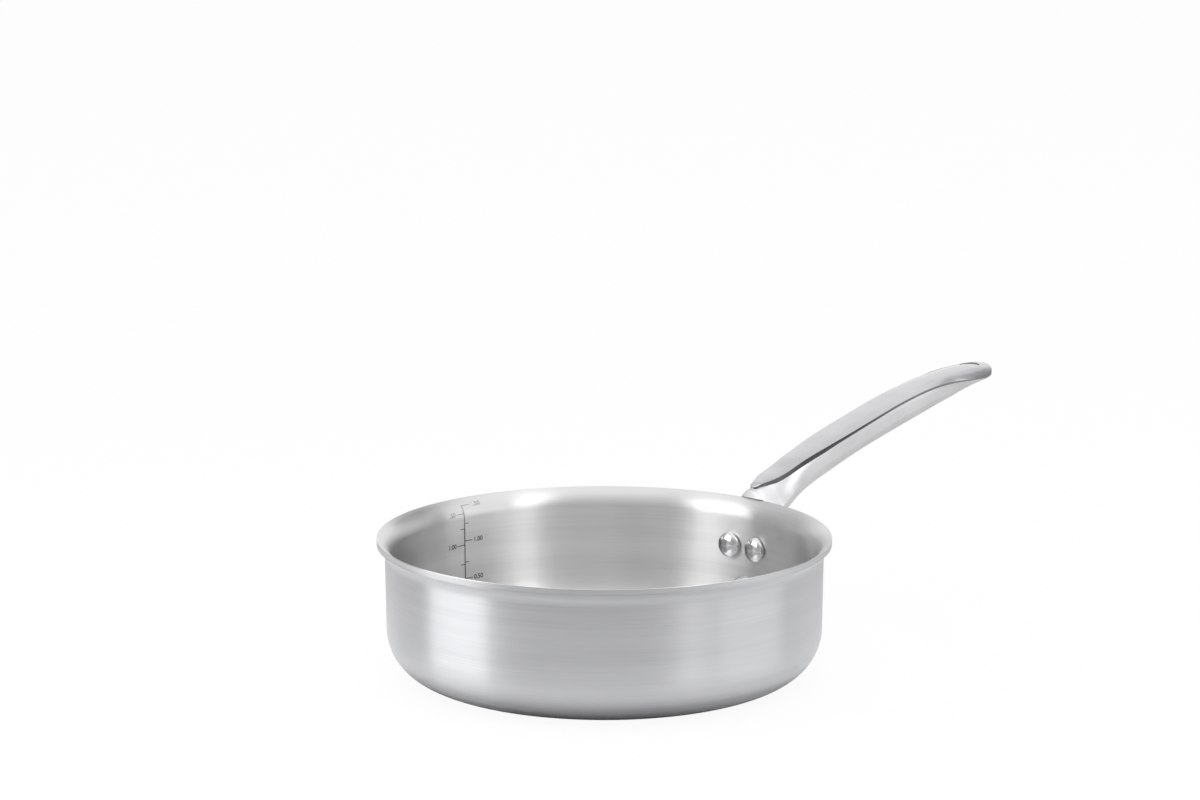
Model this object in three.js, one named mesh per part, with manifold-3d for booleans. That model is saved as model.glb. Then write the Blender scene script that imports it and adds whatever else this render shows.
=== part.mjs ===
// A clad saute pan: three bonded plies, a cast handle and the three rivets that hold it.
// Millimetres, +Z up. The base stands on z = 0, the pan's axis is Z and the handle runs along +X.
import * as THREE from 'three';
import { mergeVertices } from 'three/addons/utils/BufferGeometryUtils.js';
import Module from 'manifold-3d';

const wasm = await Module();
wasm.setup();

// Driving sizes of the vessel
const HEIGHT = 63.4;
const WALL_RADIUS = 98;
const WALL_DRAFT = 0.4;
const CORNER_RADIUS = 22;
const LIP_OVERHANG = 3.6;
const LIP_BEND_RADIUS = 7.2;
const LIP_ANGLE = 60;

// Driving sizes of the clad sheet
const INNER_SKIN = 0.4;
const CORE = 1.7;
const OUTER_SKIN = 0.4;
const BOND_GAP = 0.05;

// Driving sizes of the rivets
const RIVET_SHANK_RADIUS = 3.2;
const RIVET_HEAD_RADIUS = 6;
const RIVET_HEAD_HEIGHT = 3;
const RIVET_TAIL_RADIUS = 5.2;
const RIVET_TAIL_HEIGHT = 2;
const RIVET_SPACING = 15.6;
const UPPER_RIVET_DROP = 22.4;
const LOWER_RIVET_SINK = 1.5;

// Driving sizes of the handle
const HANDLE_REACH = 177.5;
const HANDLE_RISE = 38.5;
const HANDLE_HALF_WIDTH = 9;
const PADDLE_HALF_WIDTH = 14;
const PADDLE_ROUND = 17;
const RAMP_START = -1.2;
const NOSE_REACH = 3.2;
const NOSE_ROUND = 4.8;
const GROOVE_DEPTH = 0.8;
const PAD_THICKNESS = 4;
const PAD_MARGIN = 8;
const PAD_TOP_DROP = 8.4;
const HANGING_HOLE_RADIUS = 5;
const HANGING_HOLE_INSET = 10.5;

// Clearances
const SEAT_CLEARANCE = 0.3;
const SHANK_CLEARANCE = 0.3;

// Facets
const TURN_SEGMENTS = 56;
const RIVET_SEGMENTS = 20;
const CORNER_STEPS = 5;
const LIP_STEPS = 4;

// Sizes worked out from the driving ones
const SHEET = INNER_SKIN + CORE + OUTER_SKIN + 2 * BOND_GAP;
const RIM_RADIUS = WALL_RADIUS + WALL_DRAFT + LIP_OVERHANG;
// The upper rivets and the pad hang from the rim, and the lower rivet sits at the top of the corner.
const UPPER_RIVET_HEIGHT = HEIGHT - UPPER_RIVET_DROP;
const LOWER_RIVET_HEIGHT = CORNER_RADIUS - LOWER_RIVET_SINK;
const PAD_TOP_HEIGHT = HEIGHT - PAD_TOP_DROP;
const PAD_FACE_RADIUS = WALL_RADIUS + WALL_DRAFT + SEAT_CLEARANCE + PAD_THICKNESS;
const RIVET_ANGLE = RIVET_SPACING / 2 / (WALL_RADIUS - SHEET);
const FAR_OUT = RIM_RADIUS + HANDLE_REACH;

// The level where the wall starts to bend out, so that the cooking surface ends at the rim height.
function lipRun(depth) {
  const bend = LIP_BEND_RADIUS + depth;
  const across = LIP_OVERHANG + depth;
  const angle = Math.min(THREE.MathUtils.degToRad(LIP_ANGLE), Math.acos(Math.max(-1, 1 - across / bend)));
  const straight = Math.max(0, across - bend * (1 - Math.cos(angle)));
  return { bend, angle, straight, rise: bend * Math.sin(angle) + straight / Math.tan(angle) };
}

const LIP_START = HEIGHT - lipRun(SHEET).rise;

// One face of the sheet as points of radius and height, from the axis to the rim,
// lying the given depth inside the outer face.
function sheetFace(depth) {
  const points = [new THREE.Vector2(0, depth)];
  const corner = CORNER_RADIUS - depth;
  for (let step = 0; step <= CORNER_STEPS; step += 1) {
    const turn = (Math.PI / 2) * (step / CORNER_STEPS);
    const radius = WALL_RADIUS - CORNER_RADIUS + corner * Math.sin(turn);
    points.push(new THREE.Vector2(radius, CORNER_RADIUS - corner * Math.cos(turn)));
  }
  const lip = lipRun(depth);
  const wall = WALL_RADIUS + WALL_DRAFT - depth;
  for (let step = 0; step <= LIP_STEPS; step += 1) {
    const turn = lip.angle * (step / LIP_STEPS);
    const radius = wall + lip.bend * (1 - Math.cos(turn));
    points.push(new THREE.Vector2(radius, LIP_START + lip.bend * Math.sin(turn)));
  }
  if (lip.straight > 0.01) {
    points.push(new THREE.Vector2(RIM_RADIUS, LIP_START + lip.rise));
  }
  return points;
}

// Joins equal vertices and drops the empty triangles that a revolve leaves on its axis.
function welded(geometry) {
  const bare = geometry.index ? geometry.toNonIndexed() : geometry.clone();
  bare.deleteAttribute('normal');
  bare.deleteAttribute('uv');
  const merged = mergeVertices(bare, 1e-4);
  const index = merged.index.array;
  const kept = [];
  for (let corner = 0; corner < index.length; corner += 3) {
    const [a, b, c] = index.slice(corner, corner + 3);
    if (a !== b && b !== c && c !== a) {
      kept.push(a, b, c);
    }
  }
  merged.setIndex(kept);
  return merged;
}

function toSolid(geometry) {
  const clean = welded(geometry);
  const vertProperties = new Float32Array(clean.getAttribute('position').array);
  const triVerts = new Uint32Array(clean.index.array);
  return new wasm.Manifold(new wasm.Mesh({ numProp: 3, vertProperties, triVerts }));
}

function toGeometry(solid) {
  const mesh = solid.getMesh();
  const geometry = new THREE.BufferGeometry();
  geometry.setAttribute('position', new THREE.BufferAttribute(new Float32Array(mesh.vertProperties), 3));
  geometry.setIndex(Array.from(mesh.triVerts));
  geometry.computeVertexNormals();
  return geometry;
}

// A solid of revolution about Z from a profile of radius and height.
function revolved(profile, segments) {
  return toSolid(new THREE.LatheGeometry(profile, segments).rotateX(Math.PI / 2));
}

// The solid below a sheet face, closed flat across the top.
function filledTo(depth, top) {
  const profile = sheetFace(depth);
  profile.push(new THREE.Vector2(profile.at(-1).x, top), new THREE.Vector2(0, top));
  return revolved(profile, TURN_SEGMENTS);
}

const PAN_ENVELOPE = filledTo(-SEAT_CLEARANCE, HEIGHT + SEAT_CLEARANCE);
const CAVITY = filledTo(SHEET + SEAT_CLEARANCE, HEIGHT);

// Each rivet's name, its turn about the pan's axis and its height.
const RIVETS = [
  { name: 'rivet_left', turn: RIVET_ANGLE, height: UPPER_RIVET_HEIGHT },
  { name: 'rivet_right', turn: -RIVET_ANGLE, height: UPPER_RIVET_HEIGHT },
  { name: 'rivet_lower', turn: 0, height: LOWER_RIVET_HEIGHT },
];

// A solid of revolution about a rivet's own axis, which points out from the pan's axis.
function alongRivet(profile, rivet) {
  const geometry = new THREE.LatheGeometry(profile, RIVET_SEGMENTS);
  geometry.rotateZ(-Math.PI / 2);
  geometry.translate(0, 0, rivet.height);
  geometry.rotateZ(rivet.turn);
  return toSolid(geometry);
}

// A straight pin on a rivet's axis.
function pin(radius, start, end, rivet) {
  const profile = [[0, start], [radius, start], [radius, end], [0, end]];
  return alongRivet(profile.map(([x, y]) => new THREE.Vector2(x, y)), rivet);
}

// A domed head on a rivet's axis: its rim at one distance, its top at another, and a skirt behind the rim.
function dome(radius, rim, top, skirt, rivet) {
  const steps = 5;
  const profile = [new THREE.Vector2(0, top)];
  for (let step = 1; step <= steps; step += 1) {
    const turn = (Math.PI / 2) * (step / steps);
    profile.push(new THREE.Vector2(radius * Math.sin(turn), rim + (top - rim) * Math.cos(turn)));
  }
  profile.push(new THREE.Vector2(radius, skirt), new THREE.Vector2(0, skirt));
  return alongRivet(top > rim ? profile.reverse() : profile, rivet);
}

function drilled(solid) {
  return RIVETS.reduce((left, rivet) => {
    const radius = RIVET_SHANK_RADIUS + SHANK_CLEARANCE;
    return left.subtract(pin(radius, WALL_RADIUS / 2, FAR_OUT, rivet));
  }, solid);
}

function plySolid(outerDepth, innerDepth) {
  const profile = [...sheetFace(outerDepth), ...sheetFace(innerDepth).reverse()];
  return drilled(revolved(profile, TURN_SEGMENTS));
}

function rivetSolid(rivet) {
  const wallInside = WALL_RADIUS - SHEET - SEAT_CLEARANCE;
  const head = dome(RIVET_HEAD_RADIUS, wallInside - 0.6, wallInside - RIVET_HEAD_HEIGHT, WALL_RADIUS, rivet);
  const tailRim = PAD_FACE_RADIUS + SEAT_CLEARANCE;
  const tail = dome(RIVET_TAIL_RADIUS, tailRim, tailRim + RIVET_TAIL_HEIGHT, WALL_RADIUS, rivet);
  const shank = pin(RIVET_SHANK_RADIUS, wallInside - RIVET_HEAD_HEIGHT / 2, tailRim + RIVET_TAIL_HEIGHT / 2, rivet);
  const padBlank = padDrum(PAD_FACE_RADIUS + SEAT_CLEARANCE);
  return head.intersect(CAVITY).add(shank).add(tail.subtract(padBlank));
}

// A plain drum about the pan's axis, used to round the pad's outer face.
function padDrum(radius) {
  const profile = [[0, -HEIGHT], [radius, -HEIGHT], [radius, 2 * HEIGHT], [0, 2 * HEIGHT]];
  return revolved(profile.map(([x, y]) => new THREE.Vector2(x, y)), TURN_SEGMENTS);
}

// The value at a reach of a smooth curve through hand-placed pairs of reach and value.
function along(pairs, reach) {
  const last = pairs.length - 1;
  const span = Math.max(0, Math.min(last - 1, pairs.findIndex(([place]) => place > reach) - 1));
  const index = reach >= pairs[last][0] ? last - 1 : span;
  const slope = (k) => {
    const low = pairs[Math.max(0, k - 1)];
    const high = pairs[Math.min(last, k + 1)];
    return (high[1] - low[1]) / (high[0] - low[0]);
  };
  const [x0, y0] = pairs[index];
  const [x1, y1] = pairs[index + 1];
  const t = THREE.MathUtils.clamp((reach - x0) / (x1 - x0), 0, 1);
  const run = x1 - x0;
  const a = (1 + 2 * t) * (1 - t) ** 2 * y0 + t * (1 - t) ** 2 * run * slope(index);
  const b = t * t * (3 - 2 * t) * y1 + t * t * (t - 1) * run * slope(index + 1);
  return a + b;
}

// The handle's form as curves of reach, the distance outward from the rim. Heights are above the rim,
// drops are below the edge of the top face, and widths are half widths.
const EDGE_RISE = [
  [NOSE_REACH, 5.2],
  [4.6, 6],
  [6, 6.7],
  [8, 7.5],
  [18, 10.9],
  [30, 15.1],
  [48, 20.3],
  [HANDLE_REACH - 97, HANDLE_RISE - 10],
  [HANDLE_REACH - 77, HANDLE_RISE - 5.2],
  [HANDLE_REACH - 57, HANDLE_RISE - 1.7],
  [HANDLE_REACH - 42, HANDLE_RISE - 0.2],
  [HANDLE_REACH - 27, HANDLE_RISE],
  [HANDLE_REACH - 12, HANDLE_RISE],
  [HANDLE_REACH, HANDLE_RISE - 0.3],
];
const TOP_WIDTH = [
  [NOSE_REACH, 4.4],
  [8, 4.9],
  [10, HANDLE_HALF_WIDTH - 3.4],
  [14, HANDLE_HALF_WIDTH - 2.6],
  [22, HANDLE_HALF_WIDTH - 2.1],
  [35, HANDLE_HALF_WIDTH - 1.6],
  [48, HANDLE_HALF_WIDTH - 0.8],
  [64, HANDLE_HALF_WIDTH - 0.2],
  [HANDLE_REACH - 60, HANDLE_HALF_WIDTH],
  [HANDLE_REACH - 45, HANDLE_HALF_WIDTH + 0.7],
  [HANDLE_REACH - 36, HANDLE_HALF_WIDTH + 1.8],
  [HANDLE_REACH - 29, PADDLE_HALF_WIDTH - 1.2],
  [HANDLE_REACH - 23, PADDLE_HALF_WIDTH - 0.1],
  [HANDLE_REACH - PADDLE_ROUND, PADDLE_HALF_WIDTH],
];
// How far the middle of the top face stands above its edges.
const CROWN_RISE = [
  [NOSE_REACH, 0.2],
  [18, 0.4],
  [60, 0.6],
  [HANDLE_REACH - 57, 0.9],
  [HANDLE_REACH - 40, 2.6],
  [HANDLE_REACH - 25, 3.5],
  [HANDLE_REACH - 10, 4.2],
  [HANDLE_REACH, 4],
];
const EDGE_THICKNESS = [
  [NOSE_REACH, 0.6],
  [HANDLE_REACH - 30, 0.6],
  [HANDLE_REACH - 12, 1.2],
  [HANDLE_REACH, 2.8],
];
// How far down the groove under the edge of the top face reaches.
const GROOVE_DROP = [
  [NOSE_REACH, 1.1],
  [8, 1.9],
  [12, 2.3],
  [30, 2.6],
  [42, 2.4],
  [55, 1.4],
  [75, 0.9],
  [HANDLE_REACH - 30, 1],
  [HANDLE_REACH - 12, 1.5],
  [HANDLE_REACH, 3.1],
];
const FLANK_WIDTH = [
  [RAMP_START, 9.6],
  [NOSE_REACH, 10.8],
  [8, 11.2],
  [12, 10.8],
  [18, 9.8],
  [28, 8.7],
  [48, HANDLE_HALF_WIDTH - 0.5],
  [68, HANDLE_HALF_WIDTH],
  [HANDLE_REACH - 51, HANDLE_HALF_WIDTH + 0.2],
  [HANDLE_REACH - 31, HANDLE_HALF_WIDTH - 0.2],
  [HANDLE_REACH - 14, HANDLE_HALF_WIDTH - 1.4],
  [HANDLE_REACH, 4],
];
const FLANK_DROP = [
  [NOSE_REACH, 8.7],
  [4.6, 9.4],
  [6, 9.9],
  [8, 10.5],
  [18, 10.6],
  [28, 9.8],
  [48, 9],
  [70, 8.2],
  [HANDLE_REACH - 77, 8.2],
  [HANDLE_REACH - 51, 7.2],
  [HANDLE_REACH - 37, 6],
  [HANDLE_REACH - 27, 4.9],
  [HANDLE_REACH - 17, 4],
  [HANDLE_REACH, 3.6],
];
const BOTTOM_WIDTH = [
  [RAMP_START, 10.2],
  [NOSE_REACH, 12],
  [8, 11.8],
  [12, 10.6],
  [18, 9.2],
  [28, 7.5],
  [48, HANDLE_HALF_WIDTH - 2.1],
  [68, HANDLE_HALF_WIDTH - 1.6],
  [HANDLE_REACH - 51, HANDLE_HALF_WIDTH - 1.4],
  [HANDLE_REACH - 31, HANDLE_HALF_WIDTH - 2],
  [HANDLE_REACH - 14, HANDLE_HALF_WIDTH - 3.4],
  [HANDLE_REACH, 3],
];
const BOTTOM_DROP = [
  [NOSE_REACH, 15.9],
  [4.6, 16.5],
  [6, 16.8],
  [8, 17],
  [12, 15.6],
  [18, 15],
  [28, 14.7],
  [48, 13.3],
  [70, 11.9],
  [HANDLE_REACH - 77, 11.9],
  [HANDLE_REACH - 57, 11.2],
  [HANDLE_REACH - 37, 9],
  [HANDLE_REACH - 27, 7],
  [HANDLE_REACH - 17, 5.5],
  [HANDLE_REACH - 7, 4.6],
  [HANDLE_REACH, 4.2],
];
// How high the ramp from the rim to the nose of the top face stands above the rim.
const RAMP_RISE = [
  [RAMP_START, -3.2],
  [0.2, -1.4],
  [1, 0],
  [2, 2],
  [NOSE_REACH, 4.2],
];
const RAMP_SHARES = [0, 0.1, 0.18, 0.2, 0.22, 0.42, 0.62, 0.82];
// How much of the flank's section is the root's bell shape, the rest being the grip's rounded flank.
const BELL_SHARE = [
  [NOSE_REACH, 1],
  [12, 1],
  [24, 0.5],
  [38, 0],
  [HANDLE_REACH, 0],
];
const BELL_POWER = 1.3;
const GRIP_POWER = 0.42;
const RAMP_STATIONS = [RAMP_START, 0.2, 1, 2, NOSE_REACH - 0.01];
const NOSE_STATIONS = 6;
const ROOT_STATIONS = [10, 12, 15, 18, 23, 28, 36, 46];
const GRIP_STATIONS = 7;
const PADDLE_STATIONS = [54, 46, 38, 30, 22, 17, 12, 7, 3.5, 1.2, 0.3];

function bell(share) {
  return (1 - share * share) ** BELL_POWER;
}

// Three points of the flank between the groove and the flank line.
function flankPoints(reach, [groove, grooveLevel], [flank, flankLevel]) {
  const weight = along(BELL_SHARE, reach);
  const start = Math.min(0.95, groove / flank);
  return [0.25, 0.5, 0.75].map((part) => {
    const share = start + (1 - start) * part;
    const bellLevel = flankLevel + ((grooveLevel - flankLevel) * bell(share)) / bell(start);
    const gripWidth = groove + (flank - groove) * part ** GRIP_POWER;
    const gripLevel = grooveLevel + (flankLevel - grooveLevel) * part;
    const width = weight * flank * share + (1 - weight) * gripWidth;
    return [width, weight * bellLevel + (1 - weight) * gripLevel];
  });
}

// The top face, its edge, the groove and the flank at a reach beyond the nose.
function upperPoints(reach, edge, flank, flankLevel) {
  const nose = Math.max(0, (NOSE_REACH + NOSE_ROUND - reach) / NOSE_ROUND);
  const bow = Math.max(0, (reach - HANDLE_REACH + PADDLE_ROUND) / PADDLE_ROUND);
  const full = along(TOP_WIDTH, reach);
  const top = Math.max(0.05, full * Math.sqrt(Math.max(0, 1 - Math.max(nose, bow) ** 2)));
  const crown = (width) => edge + along(CROWN_RISE, reach) * (1 - (width / full) ** 2);
  const groove = [top - Math.min(GROOVE_DEPTH, top / 3), crown(top) - along(GROOVE_DROP, reach)];
  const limit = bow > 0 ? groove[0] : Infinity;
  const line = [Math.min(flank, limit), Math.min(flankLevel, groove[1] - 0.3)];
  return [
    [0, crown(0)],
    [top * 0.5, crown(top * 0.5)],
    [top, crown(top)],
    [top, crown(top) - along(EDGE_THICKNESS, reach)],
    groove,
    ...flankPoints(reach, groove, line),
    line,
  ];
}

// The bell-shaped ramp that climbs from the rim to the nose, and the flank line it ends on.
function rampPoints(reach, flank, flankLevel) {
  const climb = HEIGHT + along(RAMP_RISE, reach) - flankLevel;
  return [...RAMP_SHARES, 1].map((share) => [flank * share, flankLevel + climb * bell(share)]);
}

// The handle's half section at a reach, from the middle of the top face round to the middle of the underside.
function halfSection(reach) {
  const edge = HEIGHT + along(EDGE_RISE, Math.max(reach, NOSE_REACH));
  const flank = along(FLANK_WIDTH, reach);
  const flankLevel = edge - along(FLANK_DROP, reach);
  const ramp = reach < NOSE_REACH;
  const upper = ramp ? rampPoints(reach, flank, flankLevel) : upperPoints(reach, edge, flank, flankLevel);
  const [lineWidth, lineLevel] = upper.at(-1);
  const bottom = Math.min(along(BOTTOM_WIDTH, reach), lineWidth < flank ? lineWidth * 0.9 : Infinity);
  const bottomLevel = Math.min(edge - along(BOTTOM_DROP, reach), lineLevel - 0.4);
  return [
    ...upper,
    [(lineWidth + bottom) / 2 + 0.3, (lineLevel + bottomLevel) / 2],
    [bottom, bottomLevel],
    [0, bottomLevel - 0.4],
  ];
}

// Joins equal rings of points, one after another along +X, into a closed solid.
function lofted(rings) {
  const count = rings[0].length;
  const index = [];
  for (let ring = 0; ring + 1 < rings.length; ring += 1) {
    for (let corner = 0; corner < count; corner += 1) {
      const a = ring * count + corner;
      const b = ring * count + ((corner + 1) % count);
      index.push(a, a + count, b, b, a + count, b + count);
    }
  }
  const contour = (ring) => ring.map(([, y, z]) => new THREE.Vector2(y, z));
  const cap = (ring, facing) => {
    const points = contour(rings[ring]);
    for (const [a, b, c] of THREE.ShapeUtils.triangulateShape(points, [])) {
      const area = THREE.ShapeUtils.area([points[a], points[b], points[c]]);
      const order = area * facing > 0 ? [a, b, c] : [a, c, b];
      index.push(...order.map((corner) => ring * count + corner));
    }
  };
  cap(0, -1);
  cap(rings.length - 1, 1);
  const geometry = new THREE.BufferGeometry();
  geometry.setAttribute('position', new THREE.Float32BufferAttribute(rings.flat(2), 3));
  geometry.setIndex(index);
  return toSolid(geometry);
}

// The grip: sections from the ramp at the rim to the rounded end of the paddle.
function gripSolid() {
  const nose = Array.from({ length: NOSE_STATIONS }, (_, k) => {
    return NOSE_REACH + NOSE_ROUND * (1 - Math.cos(((Math.PI / 2) * k) / NOSE_STATIONS));
  });
  const first = ROOT_STATIONS.at(-1);
  const last = HANDLE_REACH - PADDLE_STATIONS[0];
  const middle = Array.from({ length: GRIP_STATIONS }, (_, k) => {
    return first + ((last - first) * (k + 1)) / (GRIP_STATIONS + 1);
  });
  const paddle = PADDLE_STATIONS.map((inset) => HANDLE_REACH - inset);
  const stations = [...RAMP_STATIONS, ...nose, NOSE_REACH + NOSE_ROUND, ...ROOT_STATIONS, ...middle, ...paddle];
  return lofted(stations.map((reach) => {
    const right = halfSection(reach);
    const left = right.slice(1, -1).reverse().map(([y, z]) => [-y, z]);
    return [...right, ...left].map(([y, z]) => [RIM_RADIUS + reach, y, z]);
  }));
}

// The pad's outline across the wall: a triangle with rounded corners round the rivets.
function padShape() {
  const corners = [
    [0, LOWER_RIVET_HEIGHT],
    [RIVET_SPACING / 2 + 0.8, PAD_TOP_HEIGHT - PAD_MARGIN],
    [-RIVET_SPACING / 2 - 0.8, PAD_TOP_HEIGHT - PAD_MARGIN],
  ];
  const shape = new THREE.Shape();
  corners.forEach(([y, z], k) => {
    const facing = (from, to) => Math.atan2(from[0] - to[0], to[1] - from[1]);
    const before = facing(corners[(k + 2) % 3], [y, z]);
    const after = facing([y, z], corners[(k + 1) % 3]);
    shape.absarc(y, z, PAD_MARGIN, before, after, false);
  });
  return shape;
}

function padSolid() {
  const depth = FAR_OUT - WALL_RADIUS / 2;
  const plate = new THREE.ExtrudeGeometry(padShape(), { depth, bevelEnabled: false, curveSegments: 8 });
  const turned = new THREE.Matrix4().makeBasis(
    new THREE.Vector3(0, 1, 0),
    new THREE.Vector3(0, 0, 1),
    new THREE.Vector3(1, 0, 0),
  );
  plate.applyMatrix4(turned);
  plate.translate(WALL_RADIUS / 2, 0, 0);
  return toSolid(plate).intersect(padDrum(PAD_FACE_RADIUS));
}

function hangingHole() {
  const bar = new THREE.CylinderGeometry(HANGING_HOLE_RADIUS, HANGING_HOLE_RADIUS, 2 * HEIGHT, 24);
  bar.rotateX(Math.PI / 2);
  bar.translate(FAR_OUT - HANGING_HOLE_INSET, 0, HEIGHT + HANDLE_RISE);
  return toSolid(bar);
}

function handleSolid() {
  const casting = gripSolid().add(padSolid());
  return drilled(casting.subtract(PAN_ENVELOPE).subtract(hangingHole()));
}

// The object: one named mesh for each piece.
const pan = new THREE.Group();

function addPiece(name, solid, colour, roughness) {
  const material = new THREE.MeshStandardMaterial({ color: colour, roughness, metalness: 1 });
  const mesh = new THREE.Mesh(toGeometry(solid), material);
  mesh.name = name;
  pan.add(mesh);
}

const CORE_OUTSIDE = OUTER_SKIN + BOND_GAP;
const CORE_INSIDE = CORE_OUTSIDE + CORE;
addPiece('outer_ply', plySolid(0, OUTER_SKIN), 0xc4c6c8, 0.34);
addPiece('core_ply', plySolid(CORE_OUTSIDE, CORE_INSIDE), 0xcfd2d4, 0.45);
addPiece('inner_ply', plySolid(CORE_INSIDE + BOND_GAP, SHEET), 0xc9cbcc, 0.32);
addPiece('handle', handleSolid(), 0xd2d3d5, 0.14);
for (const rivet of RIVETS) {
  addPiece(rivet.name, rivetSolid(rivet), 0xd0d0d2, 0.12);
}

export default pan;
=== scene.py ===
"""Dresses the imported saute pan: smooth clad skins, a polished cast handle, rivets and the etched graduation.

Sizes are in millimetres and become metres as each mesh is made. The pan's axis is Z, and the handle
runs along +X.
"""
import math

import bmesh
import bpy
from mathutils import Matrix, Vector

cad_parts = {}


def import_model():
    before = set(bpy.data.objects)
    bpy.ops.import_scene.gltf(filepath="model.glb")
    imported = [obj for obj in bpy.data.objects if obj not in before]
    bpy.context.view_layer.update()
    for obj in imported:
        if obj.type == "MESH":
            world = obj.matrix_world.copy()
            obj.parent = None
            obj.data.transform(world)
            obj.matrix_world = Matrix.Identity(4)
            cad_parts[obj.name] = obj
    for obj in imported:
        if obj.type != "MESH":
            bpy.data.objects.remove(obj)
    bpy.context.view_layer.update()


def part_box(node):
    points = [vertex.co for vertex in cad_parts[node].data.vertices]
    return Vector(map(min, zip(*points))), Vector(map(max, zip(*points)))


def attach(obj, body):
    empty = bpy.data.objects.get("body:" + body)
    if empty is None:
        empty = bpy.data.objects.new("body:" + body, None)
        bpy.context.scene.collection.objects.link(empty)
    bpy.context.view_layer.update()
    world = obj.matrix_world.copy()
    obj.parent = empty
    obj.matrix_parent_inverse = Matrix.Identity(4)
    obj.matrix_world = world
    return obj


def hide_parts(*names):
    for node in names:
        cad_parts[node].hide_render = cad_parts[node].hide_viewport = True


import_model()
MM = 0.001

# The vessel, with its outside sizes taken from the frame
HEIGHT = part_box("inner_ply")[1][2] / MM
RIM_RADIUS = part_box("outer_ply")[1][0] / MM
SHEET = 2.6
SKIN = 0.4
BOND_GAP = 0.05
WALL_DRAFT = 0.4
LIP_OVERHANG = 3.6
WALL_RADIUS = RIM_RADIUS - LIP_OVERHANG - WALL_DRAFT
CORNER_RADIUS = 22
LIP_BEND_RADIUS = 7.2
LIP_ANGLE = math.radians(60)
LIP_EDGE_ROUND = 0.25
TURN_SEGMENTS = 224
PLY_SMOOTH_ANGLE = 40

# The rivets
RIVET_HEAD_RADIUS = 6
RIVET_HEAD_HEIGHT = 3
RIVET_TAIL_RADIUS = 5.2
RIVET_TAIL_HEIGHT = 2
RIVET_SHANK_RADIUS = 3.2
RIVET_SPACING = 15.6
UPPER_RIVET_HEIGHT = 41
LOWER_RIVET_HEIGHT = 20.5
RIVET_RIM = 0.6
RIVET_EDGE_ROUND = 0.15
RIVET_SEAT = 0.2
RIVET_STEPS = 14
RIVET_SEGMENTS = 48

# The handle
HANDLE_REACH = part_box("handle")[1][0] / MM - RIM_RADIUS
HANDLE_RISE = 38.5
HANDLE_HALF_WIDTH = 9
PADDLE_HALF_WIDTH = 14
PADDLE_ROUND = 17
RAMP_START = -1.2
NOSE_REACH = -0.4
NOSE_ROUND = 1.6
SEAT_CLEARANCE = 0.3
PAD_THICKNESS = 4
PAD_MARGIN = 8
PAD_TOP_HEIGHT = 55
PAD_EDGE_ROUND = 1.2
PAD_SPREAD = 0.8
PAD_DEPTH = 6
PAD_HALF_SIZE = 18
PAD_CORNER_STEPS = 14
PAD_EDGE_STEPS = 6
PAD_FACE_SHARES = (0.75, 0.5, 0.25, 0.05)
PAD_FACE_RADIUS = WALL_RADIUS + WALL_DRAFT + SEAT_CLEARANCE + PAD_THICKNESS
HANGING_HOLE_RADIUS = 5
HANGING_HOLE_INSET = 10.5
# How far above the tip's level the hole wall's painted light gives way to its painted shade
HOLE_LINE_RISE = 3
HANDLE_SMOOTH_ANGLE = 38

# The view of the photograph: a 100 mm lens on a 36 mm wide frame of 1200 by 800 pixels
HANDLE_BEARING = math.radians(43.2)
CAMERA_DISTANCE = 1457.8
CAMERA_HEIGHT = 403.3
CAMERA_PITCH = math.radians(10.82)
CAMERA_YAW = math.radians(0.076)
LENS = 100
SENSOR_WIDTH = 36
CLIP_START = 0.01
FORWARD = Vector((math.cos(HANDLE_BEARING), math.sin(HANDLE_BEARING), 0))
RIGHT = Vector((math.sin(HANDLE_BEARING), -math.cos(HANDLE_BEARING), 0))
UP = Vector((0, 0, 1))

# Distances in metres under which points are joined and edges are dropped, and in millimetres under which
# a point counts as on the axis and a straight run as none
SAME_POINT = 1e-7
NO_LENGTH = 1e-8
ON_AXIS = 1e-6
NO_STRAIGHT = 0.01
SMOOTH_ANGLE = 35


def new_object(name, data):
    obj = bpy.data.objects.new(name, data)
    bpy.context.scene.collection.objects.link(obj)
    return obj


def add_object(name, vertices, faces, material, slot, smooth_angle=SMOOTH_ANGLE, marked_faces=None):
    """A closed mesh from points in millimetres, shaded smooth but for its sharp edges.

    With a slot it rides on the root body. Marked faces are given by the index of their material.
    """
    mesh = bpy.data.meshes.new(name)
    mesh.from_pydata([tuple(c * MM for c in v) for v in vertices], [], faces)
    for material_index, indices in (marked_faces or {}).items():
        for index in indices:
            mesh.polygons[index].material_index = material_index
    mesh.validate()
    obj = new_object(name, mesh)
    tidy_normals(mesh, smooth_angle)
    if material:
        mesh.materials.append(material)
    if slot:
        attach(obj, "root")
    return obj


def tidy_normals(mesh, smooth_angle):
    """Joins equal points, turns the faces outward and marks the edges that stay sharp."""
    work = bmesh.new()
    work.from_mesh(mesh)
    bmesh.ops.remove_doubles(work, verts=work.verts, dist=SAME_POINT)
    bmesh.ops.dissolve_degenerate(work, edges=work.edges, dist=NO_LENGTH)
    bmesh.ops.recalc_face_normals(work, faces=work.faces)
    for face in work.faces:
        face.smooth = True
    limit = math.radians(smooth_angle)
    for edge in work.edges:
        edge.smooth = len(edge.link_faces) == 2 and edge.calc_face_angle(0) < limit
    work.to_mesh(mesh)
    work.free()


def triangulate(mesh):
    """Splits all faces into triangles, so that a cut through bent faces leaves no slivers."""
    work = bmesh.new()
    work.from_mesh(mesh)
    bmesh.ops.triangulate(work, faces=work.faces)
    work.to_mesh(mesh)
    work.free()


# Profiles and revolved meshes


def lip_run(depth):
    """How a sheet face at a depth inside the outer face bends out to the rim.

    Gives the bend's radius and angle, the straight run after it and the whole rise.
    """
    bend = LIP_BEND_RADIUS + depth
    across = LIP_OVERHANG + depth
    angle = min(LIP_ANGLE, math.acos(1 - across / bend))
    straight = max(0, across - bend * (1 - math.cos(angle)))
    return bend, angle, straight, bend * math.sin(angle) + straight / math.tan(angle)


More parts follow.
